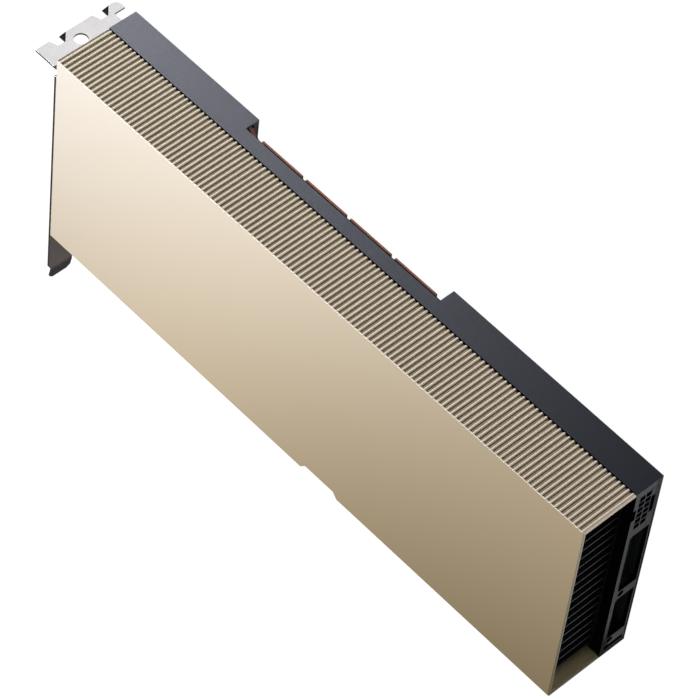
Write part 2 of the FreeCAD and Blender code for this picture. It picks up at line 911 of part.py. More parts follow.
def make_pins():
    """Eight square pins; the upper row's tails reach further back over the board."""
    tip = housing_end - pin_tip_gap
    foot = board_front + pin_size / 2
    pins = []
    for y in row_about(housing_y, way_pitch, ways):
        lower_z, upper_z = row_about(housing_z, way_pitch, way_rows)
        heel = housing_start - tail_reach + tail_step
        turn = housing_start + pin_size
        step = max(lower_z, foot) + tail_lift
        pins.append(square_run([(tip, lower_z), (turn, lower_z), (turn, step), (heel, step),
                                (heel, foot)], y))
        heel = housing_start - tail_reach
        pins.append(square_run([(tip, upper_z), (heel, upper_z), (heel, foot)], y))
    return pins


def make_housing(pins):
    half_y, half_z = housing_width / 2, housing_tall / 2
    body = block(housing_start, housing_end, housing_y - half_y, housing_y + half_y,
                 housing_z - half_z, housing_z + half_z)
    ears = block(housing_start, housing_start + ear_length, housing_y - half_y - ear_width,
                 housing_y + half_y + ear_width, board_front, board_front + ear_height)
    middle = (housing_start + housing_end) / 2
    latch = block(middle, middle + latch_length, housing_y - latch_width / 2, housing_y + latch_width / 2,
                  housing_z + half_z, housing_z + half_z + latch_height)
    cuts = []
    for y in row_about(housing_y, way_pitch, ways):
        for z in row_about(housing_z, way_pitch, way_rows):
            half = way_size / 2
            cuts.append(block(housing_end - way_depth, housing_end + through, y - half, y + half,
                              z - half, z + half))
    return joined([body, ears, latch]).cut(cuts + pins)


# ---------------------------------------------------------------- bracket

def bent_sheet():
    """The bracket's section: the flange, the bend and the plate down to the feet, pushed across."""
    inner, outer = bend_radius, bend_radius + sheet
    cx, cy = -outer, flange_top - outer
    low = -foot_bottom
    half = math.sqrt(0.5)
    top_edge = Part.makeLine(FreeCAD.Vector(-flange_length, flange_top, 0), FreeCAD.Vector(cx, flange_top, 0))
    outer_bend = Part.Arc(FreeCAD.Vector(cx, flange_top, 0),
                          FreeCAD.Vector(cx + outer * half, cy + outer * half, 0),
                          FreeCAD.Vector(0, cy, 0)).toShape()
    bend_y = -foot_bottom + foot_bend_height
    inner_bend = Part.Arc(FreeCAD.Vector(-sheet, cy, 0),
                          FreeCAD.Vector(cx + inner * half, cy + inner * half, 0),
                          FreeCAD.Vector(cx, flange_top - sheet, 0)).toShape()
    corners = [(0, cy), (0, bend_y), (-foot_bend_offset, low), (-foot_bend_offset - sheet, low),
               (-sheet, bend_y), (-sheet, cy)]
    points = [FreeCAD.Vector(x, y, 0) for x, y in corners]
    plate_edges = [Part.makeLine(one, two) for one, two in zip(points[:-1], points[1:])]
    end = FreeCAD.Vector(-flange_length, flange_top - sheet, 0)
    close = [Part.makeLine(FreeCAD.Vector(cx, flange_top - sheet, 0), end),
             Part.makeLine(end, FreeCAD.Vector(-flange_length, flange_top, 0))]
    wire = Part.Wire([top_edge, outer_bend] + plate_edges + [inner_bend] + close)
    face = Part.Face(wire)
    face.translate(FreeCAD.Vector(0, 0, -bracket_below_back))
    return face.extrude(FreeCAD.Vector(0, 0, bracket_width))


def foot_corners(front):
    """Outline of one foot, from its front side round to its back side."""
    back = front - foot_width
    c = foot_corner
    return [(-foot_bottom + c, front), (-foot_bottom, front - c), (-foot_bottom, back + c),
            (-foot_bottom + c, back), (-plate_bottom, back)]


def plate_outline():
    """The plate's own outline as (y, z) corners, with two feet one slot apart."""
    front, back = bracket_front, -bracket_below_back
    neck = flange_top - neck_height
    first_foot = front - plate_corner
    second_foot = first_foot - slot_pitch
    corners = [(flange_top + through, front), (flange_top - sheet, front),
               (flange_top - sheet, front - neck_relief),
               (neck, front - neck_relief), (neck, front), (-plate_bottom, front),
               (-plate_bottom - plate_corner_height, first_foot)]
    corners += foot_corners(first_foot)
    corners += [(-plate_bottom, second_foot)] + foot_corners(second_foot)
    corners += [(-plate_bottom, back), (neck, back), (neck, back + flange_relief_depth),
                (flange_top - sheet, back + flange_relief_depth), (flange_top - sheet, back),
                (flange_top + through, back)]
    return corners


def flange_notch(front):
    """An open screw notch whose front side is at the given depth, with one side led in."""
    edge, floor = -flange_length, -flange_length + flange_notch_depth
    corners = [(edge - through, front), (edge, front), (floor, front - flange_notch_lead),
               (floor, front - flange_notch_lead - flange_notch_width),
               (edge - through, front - flange_notch_lead - flange_notch_width)]
    return prism([(x, flange_top - sheet - through, z) for x, z in corners], (0, sheet + 2 * through, 0))


def coined_corner(front):
    """The wedge pressed down at the back side of a screw notch."""
    edge, floor = -flange_length, -flange_length + flange_notch_depth
    side = front - flange_notch_lead - flange_notch_width
    top = flange_top
    low = FreeCAD.Vector(edge, top - coined_fall, side)
    corners = [FreeCAD.Vector(edge, top, side), FreeCAD.Vector(edge, top, side - coined_length),
               FreeCAD.Vector(floor, top, side)]
    faces = [Part.Face(Part.makePolygon([corners[0], corners[1], corners[2], corners[0]])),
             Part.Face(Part.makePolygon([low, corners[1], corners[2], low])),
             Part.Face(Part.makePolygon([low, corners[0], corners[1], low])),
             Part.Face(Part.makePolygon([low, corners[2], corners[0], low]))]
    wedge = Part.makeSolid(Part.makeShell(faces))
    return wedge if wedge.Volume > 0 else wedge.reversed()


def hexagon(y, z, radius, x0, x1):
    corners = []
    for index in range(6):
        angle = math.radians(60 * index + 30)
        corners.append((y + radius * math.cos(angle), z + radius * math.sin(angle)))
    return end_prism(corners, x0, x1)


def grille_cuts():
    """A honeycomb of air holes over the plate, left out round the bracket's screws."""
    rise = grille_pitch * math.sqrt(3) / 2
    low_z, high_z = grille_border, bracket_front - grille_border
    low_y, high_y = grille_border, card_height - 2 * grille_border
    rows = int((high_z - low_z) // rise) + 1
    first_z = (low_z + high_z - (rows - 1) * rise) / 2
    keep = bracket_screw_head_radius + grille_hole_radius + sheet
    cuts = []
    for row in range(rows):
        z = first_z + row * rise
        start = low_y + (row % 2) * grille_pitch / 2
        count = int((high_y - start) // grille_pitch) + 1
        for index in range(count):
            y = start + index * grille_pitch
            near = [math.hypot(y - screw, z - bracket_screw_depth) for screw in bracket_screw_places()]
            if min(near) > keep:
                cuts.append(hexagon(y, z, grille_hole_radius, -sheet - through, through))
    return cuts


def make_bracket():
    outline = end_prism(plate_outline(), -flange_length - through, through)
    sheet_metal = bent_sheet().common(outline)
    relief = block(-flange_relief_width, through, flange_top - sheet - bend_radius - through,
                   flange_top + through, -bracket_below_back - through,
                   -bracket_below_back + flange_relief_depth)
    corner = block(-flange_length - through, -flange_length + flange_corner, flange_top - sheet - through,
                   flange_top + through, -bracket_below_back - through,
                   -bracket_below_back + flange_corner)
    rounding = Part.makeCylinder(flange_corner, sheet + 4 * through,
                                 FreeCAD.Vector(-flange_length + flange_corner,
                                                flange_top - sheet - 2 * through,
                                                -bracket_below_back + flange_corner),
                                 FreeCAD.Vector(0, 1, 0))
    hole = Part.makeCylinder(flange_hole_radius, sheet + 2 * through,
                             FreeCAD.Vector(-flange_hole_inset, flange_top - sheet - through,
                                            bracket_front - flange_hole_place),
                             FreeCAD.Vector(0, 1, 0))
    cuts = [relief, corner.cut(rounding), hole]
    for slot in (0, 1):
        front = bracket_front - flange_notch_mouth - slot * slot_pitch
        cuts += [flange_notch(front), coined_corner(front)]
    for y in bracket_screw_places():
        cuts.append(rod_along_x(-sheet - through, through, y, bracket_screw_depth,
                                bracket_screw_radius + fit_gap))
    return sheet_metal.cut(cuts + grille_cuts())


def make_bracket_screws():
    screws = []
    for y in bracket_screw_places():
        head = rod_along_x(-sheet - bracket_screw_head, -sheet, y, bracket_screw_depth,
                           bracket_screw_head_radius)
        shank = rod_along_x(-sheet, bracket_boss_length, y, bracket_screw_depth, bracket_screw_radius)
        socket = rod_along_x(-sheet - bracket_screw_head - through, -sheet - bracket_screw_head / 2, y,
                             bracket_screw_depth, bracket_screw_radius)
        screws.append(head.fuse(shank).cut(socket))
    return Part.makeCompound(screws)


# ---------------------------------------------------------------- assembly

def numbered(name, shapes):
    return {"%s_%d" % (name, index + 1): shape for index, shape in enumerate(shapes)}


def assemble():
    pins = make_pins()
    pieces = {
        "cover": make_cover(),
        "frame": make_frame(),
        "back_plate": make_back_plate(),
        "back_plate_screws": make_back_screws(),
        "bracket": make_bracket(),
        "bracket_screws": make_bracket_screws(),
        "circuit_board": make_board(),
        "edge_contacts_front": make_edge_contacts(board_front),
        "edge_contacts_back": make_edge_contacts(board_back - contact_thickness),
        "link_contacts_front": make_link_contacts(board_front),
        "link_contacts_back": make_link_contacts(board_back - contact_thickness),
        "package_substrate": centred(package_size, package_size, board_front, substrate_top),
        "processor_die": centred(die_width, die_length, substrate_top, die_top),
        "package_stiffener": make_stiffener(),
        "thermal_paste": make_paste(),
        "vapour_chamber": make_vapour_chamber(),
        "fin_base": make_fin_base(),
        "fins": make_fins(),
        "spring_plate": make_spring_plate(),
        "heat_sink_screws": make_sink_screws(),
        "power_stages": make_power_stages(),
        "bulk_capacitors": make_capacitors(),
        "ceramic_capacitors": make_ceramics(),
        "filter_coils": make_filters(),
        "management_controller": make_controller(),
        "memory_chip": make_memory_chip(),
        "power_regulator": make_regulator(),
        "power_connector": make_housing(pins),
        "power_pins": Part.makeCompound(pins),
    }
    pieces.update(numbered("memory_stack", make_memory_stacks()))
    pieces.update(numbered("inductor", make_inductors()))
    pieces.update(numbered("thermal_pad", make_thermal_pads()))
    return pieces


def main():
    pieces = assemble()
    box = Part.makeCompound(list(pieces.values())).BoundBox
    to_origin = FreeCAD.Vector(-(box.XMin + box.XMax) / 2, -(box.YMin + box.YMax) / 2, -box.ZMin)
    os.makedirs("parts", exist_ok=True)
    for name, shape in pieces.items():
        shape.translate(to_origin)
        shape.exportStep("parts/%s.step" % name)
        print(name, len(shape.Solids), round(shape.Volume, 1), "valid" if shape.isValid() else "INVALID")
    print("moved by", to_origin)


main()
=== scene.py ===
import json
import bpy
import numpy as np
from mathutils import Matrix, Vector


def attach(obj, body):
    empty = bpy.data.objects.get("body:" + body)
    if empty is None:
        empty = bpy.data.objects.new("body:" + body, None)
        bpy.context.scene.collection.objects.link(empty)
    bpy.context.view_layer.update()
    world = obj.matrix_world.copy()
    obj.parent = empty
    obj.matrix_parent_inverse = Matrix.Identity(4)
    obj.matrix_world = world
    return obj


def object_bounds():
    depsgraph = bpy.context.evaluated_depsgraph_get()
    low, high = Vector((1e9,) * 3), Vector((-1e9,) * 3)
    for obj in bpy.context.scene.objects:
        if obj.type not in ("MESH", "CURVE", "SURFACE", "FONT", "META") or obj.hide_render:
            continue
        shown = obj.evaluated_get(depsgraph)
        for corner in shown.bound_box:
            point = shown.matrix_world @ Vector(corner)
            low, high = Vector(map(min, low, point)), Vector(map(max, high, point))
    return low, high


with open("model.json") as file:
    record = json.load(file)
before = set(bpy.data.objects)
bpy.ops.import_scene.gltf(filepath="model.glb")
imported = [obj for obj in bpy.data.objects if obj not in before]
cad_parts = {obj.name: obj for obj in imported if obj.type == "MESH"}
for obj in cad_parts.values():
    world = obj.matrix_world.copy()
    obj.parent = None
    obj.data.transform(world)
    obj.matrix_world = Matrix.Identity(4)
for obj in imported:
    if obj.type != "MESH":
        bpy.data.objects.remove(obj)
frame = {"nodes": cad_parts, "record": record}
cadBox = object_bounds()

nodes = frame["nodes"]
scene = bpy.context.scene
print("frame loaded:", len(nodes), "nodes")


def addNode(tree, kind, inputs=None, **settings):  # one shader node, its sockets set or linked
    made = tree.nodes.new("ShaderNode" + kind)
    for key, value in settings.items():
        setattr(made, key, value)
    for key, value in (inputs or {}).items():
        if isinstance(value, bpy.types.NodeSocket):
            tree.links.new(value, made.inputs[key])
        else:
            made.inputs[key].default_value = value
    return made


def newGroup(name, inputs, outputs):  # an empty node group with named sockets
    tree = bpy.data.node_groups.new(name, "ShaderNodeTree")
    for label, kind, value in inputs:
        socket = tree.interface.new_socket(name=label, in_out="INPUT", socket_type="NodeSocket" + kind)
        socket.default_value = value
    for label, kind in outputs:
        tree.interface.new_socket(name=label, in_out="OUTPUT", socket_type="NodeSocket" + kind)
    return tree, tree.nodes.new("NodeGroupInput").outputs, tree.nodes.new("NodeGroupOutput").inputs


def placeGroup(tree, group, **inputs):  # a copy of a group in a material, with its own values
    made = tree.nodes.new("ShaderNodeGroup")
    made.node_tree = group
    for key, value in inputs.items():
        made.inputs[key].default_value = value
    return made.outputs


def mixColour(tree, factor, low, high, blend="MIX"):
    made = addNode(tree, "Mix", {0: factor, 6: low, 7: high}, data_type="RGBA", blend_type=blend)
    return made.outputs[2]


def times(tree, one, two):
    return addNode(tree, "Math", {0: one, 1: two}, operation="MULTIPLY").outputs[0]


def spread(tree, value, low, high):  # a 0 to 1 value stretched to low to high
    return addNode(tree, "MapRange", {"Value": value, "To Min": low, "To Max": high}).outputs[0]


# effects shared by the finishes
def buildGrainGroup():  # slow clouds and fine grain, both 0 to 1, stretched along any axis
    tree, given, out = newGroup(
        "surfaceGrain", [("cloudScale", "Float", 30.0), ("grainScale", "Float", 2000.0),
                         ("stretch", "Vector", (1.0, 1.0, 1.0))], [("clouds", "Float"), ("grain", "Float")])
    spot = addNode(tree, "TexCoord").outputs["Object"]
    clouds = addNode(tree, "TexNoise", {"Vector": spot, "Scale": given["cloudScale"], "Detail": 3.0,
                                        "Roughness": 0.55}).outputs[0]
    run = addNode(tree, "VectorMath", {0: spot, 1: given["stretch"]}, operation="MULTIPLY").outputs[0]
    grain = addNode(tree, "TexNoise", {"Vector": run, "Scale": given["grainScale"], "Detail": 2.0,
                                       "Roughness": 0.6}).outputs[0]
    for value, name in ((clouds, "clouds"), (grain, "grain")):
        full = addNode(tree, "MapRange", {"Value": value, "From Min": 0.3, "From Max": 0.7}).outputs[0]
        tree.links.new(full, out[name])
    return tree


def buildEdgeGroup():  # where the bevelled normal leaves the true one, an edge is near
    tree, given, out = newGroup(
        "edgeWear", [("radius", "Float", 0.0003), ("gain", "Float", 3.0)],
        [("mask", "Float"), ("normal", "Vector")])
    soft = addNode(tree, "Bevel", {"Radius": given["radius"]}, samples=4).outputs[0]
    true = addNode(tree, "NewGeometry").outputs["Normal"]
    same = addNode(tree, "VectorMath", {0: soft, 1: true}, operation="DOT_PRODUCT").outputs["Value"]
    lost = addNode(tree, "Math", {0: 1.0, 1: same}, operation="SUBTRACT").outputs[0]
    mask = addNode(tree, "Math", {0: lost, 1: given["gain"]}, operation="MULTIPLY", use_clamp=True).outputs[0]
    tree.links.new(mask, out["mask"])
    tree.links.new(soft, out["normal"])
    return tree


def buildSlopeGroup():  # 0 to 1 from a start point along a straight line through the part
    tree, given, out = newGroup(
        "slope", [("start", "Vector", (0.0, 0.0, 0.0)), ("along", "Vector", (1.0, 0.0, 0.0))],
        [("share", "Float")])
    spot = addNode(tree, "TexCoord").outputs["Object"]
    gone = addNode(tree, "VectorMath", {0: spot, 1: given["start"]}, operation="SUBTRACT").outputs[0]
    way = addNode(tree, "VectorMath", {0: gone, 1: given["along"]}, operation="DOT_PRODUCT").outputs["Value"]
    tree.links.new(addNode(tree, "Clamp", {"Value": way}).outputs[0], out["share"])
    return tree


def buildFacingGroup():  # 0 to 1 as a surface turns toward a direction of the part
    tree, given, out = newGroup(
        "facing", [("toward", "Vector", (0.0, 0.0, 1.0)), ("low", "Float", 0.5), ("high", "Float", 0.9)],
        [("share", "Float")])
    normal = addNode(tree, "TexCoord").outputs["Normal"]
    match = addNode(tree, "VectorMath", {0: normal, 1: given["toward"]}, operation="DOT_PRODUCT")
    share = addNode(tree, "MapRange", {"Value": match.outputs["Value"], "From Min": given["low"],
                                       "From Max": given["high"]})
    tree.links.new(share.outputs[0], out["share"])
    return tree


def buildCreviceGroup():  # 1 deep in a groove or corner, 0 in the open
    tree, given, out = newGroup(
        "crevice", [("reach", "Float", 0.001), ("open", "Float", 0.9), ("closed", "Float", 0.4)],
        [("share", "Float")])
    light = addNode(tree, "AmbientOcclusion", {"Distance": given["reach"]}, samples=8).outputs["AO"]
    share = addNode(tree, "MapRange", {"Value": light, "From Min": given["open"],
                                       "From Max": given["closed"]})
    tree.links.new(share.outputs[0], out["share"])
    return tree


grainGroup = buildGrainGroup()
edgeGroup = buildEdgeGroup()
slopeGroup = buildSlopeGroup()
facingGroup = buildFacingGroup()
creviceGroup = buildCreviceGroup()
print("shader groups built")


def tintShare(tree, tint):  # where a tint shows: the product of its facing, slopes and crevice
    parts = []
    if "toward" in tint:
        low, high = tint.get("turn", (0.5, 0.9))
        parts.append(placeGroup(tree, facingGroup, toward=tint["toward"], low=low, high=high)["share"])
    for start, along in tint.get("slopes", ()):
        parts.append(placeGroup(tree, slopeGroup, start=start, along=along)["share"])
    if "reach" in tint:
        parts.append(placeGroup(tree, creviceGroup, reach=tint["reach"])["share"])
    share = parts[0]
    for part in parts[1:]:
        share = times(tree, share, part)
    return share


def layTints(tree, colour, metallic, tints):  # each mixed into the colour, and into Metallic if it names one
    for tint in tints:
        share = tintShare(tree, tint)
        colour = mixColour(tree, share, colour, (*tint["colour"], 1.0), tint.get("blend", "MIX"))
        if "metallic" in tint:
            mixed = addNode(tree, "Mix", {"Factor": share, "A": metallic, "B": tint["metallic"]})
            metallic = mixed.outputs[0]
    return colour, metallic


def makeFinish(name, look):  # clouded colour, tints (many of them painted light and shade), edges lightened by wear and painted highlight, last tints, and grain in gloss and surface
    material = bpy.data.materials.new(name)
    material.use_nodes = True
    tree = material.node_tree
    shader = tree.nodes["Principled BSDF"]
    for socket, value in look.get("shader", {}).items():
        shader.inputs[socket].default_value = value
    grain = placeGroup(tree, grainGroup, cloudScale=look["cloudScale"], grainScale=look["grainScale"],
                       stretch=look.get("stretch", (1.0, 1.0, 1.0)))
    edge = placeGroup(tree, edgeGroup, radius=look["edgeRadius"])
    colour = mixColour(tree, grain["clouds"], (*look["colour"], 1.0), (*look["clouded"], 1.0))
    if "fleck" in look:
        fleck = spread(tree, grain["grain"], 1.0 - look["fleck"], 1.0 + look["fleck"])
        colour = addNode(tree, "VectorMath", {0: colour, "Scale": fleck}, operation="SCALE").outputs[0]
    metallic = shader.inputs["Metallic"].default_value
    colour, metallic = layTints(tree, colour, metallic, look.get("tints", ()))
    # edges mixed toward edgeColour: partly wear, partly painted highlight on bevels
    wearAndHighlight = spread(tree, edge["mask"], 0.0, look["edgeAmount"])
    colour = mixColour(tree, wearAndHighlight, colour, (*look["edgeColour"], 1.0))
    colour, metallic = layTints(tree, colour, metallic, look.get("lastTints", ()))
    if isinstance(metallic, bpy.types.NodeSocket):
        tree.links.new(metallic, shader.inputs["Metallic"])
    low, high = look["roughness"]
    gloss = spread(tree, grain["grain"], low, high)
    bump = addNode(tree, "Bump", {"Height": grain["grain"], "Normal": edge["normal"],
                                  "Strength": look["bump"], "Distance": look["bumpDepth"]}).outputs[0]
    for value, socket in ((colour, "Base Color"), (gloss, "Roughness"), (bump, "Normal")):
        tree.links.new(value, shader.inputs[socket])
    return material


def fade(axis, start, rate):  # 0 at start, 1 at 1 / rate metres from it; a negative rate runs back
    unit = np.eye(3)["xyz".index(axis)]
    return tuple(unit * start), tuple(unit * rate)


coverFace = {"toward": (0.0, 0.0, 1.0), "turn": (0.75, 0.95)}
frameEnd = {"toward": (1.0, 0.0, 0.0), "turn": (0.7, 0.95)}
coverEnd = {"toward": (1.0, 0.0, 0.0), "turn": (0.9, 0.99)}
endChamfer = {"toward": (0.707, 0.0, 0.707), "turn": (0.85, 0.95)}
steelEnd = {"toward": (1.0, 0.0, 0.0), "turn": (0.3, 0.7)}

farSlope = fade("x", -0.128, 3.74)  # from the bracket to the open end
lowSlope = fade("y", 0.0634, -10.2)  # from the ribbed edge to the lower edge
ribs = fade("y", 0.0621, 2500.0)
ribValleys = fade("y", 0.063, -2500.0)
linkTabs = fade("y", 0.0583, 4000.0)
lowerWall = fade("y", -0.0272, -1000.0)  # the cover's lower wall, seen through the open end
mouth = fade("x", 0.139, 3000.0)
mouthChamfer = fade("x", 0.138, 3000.0)
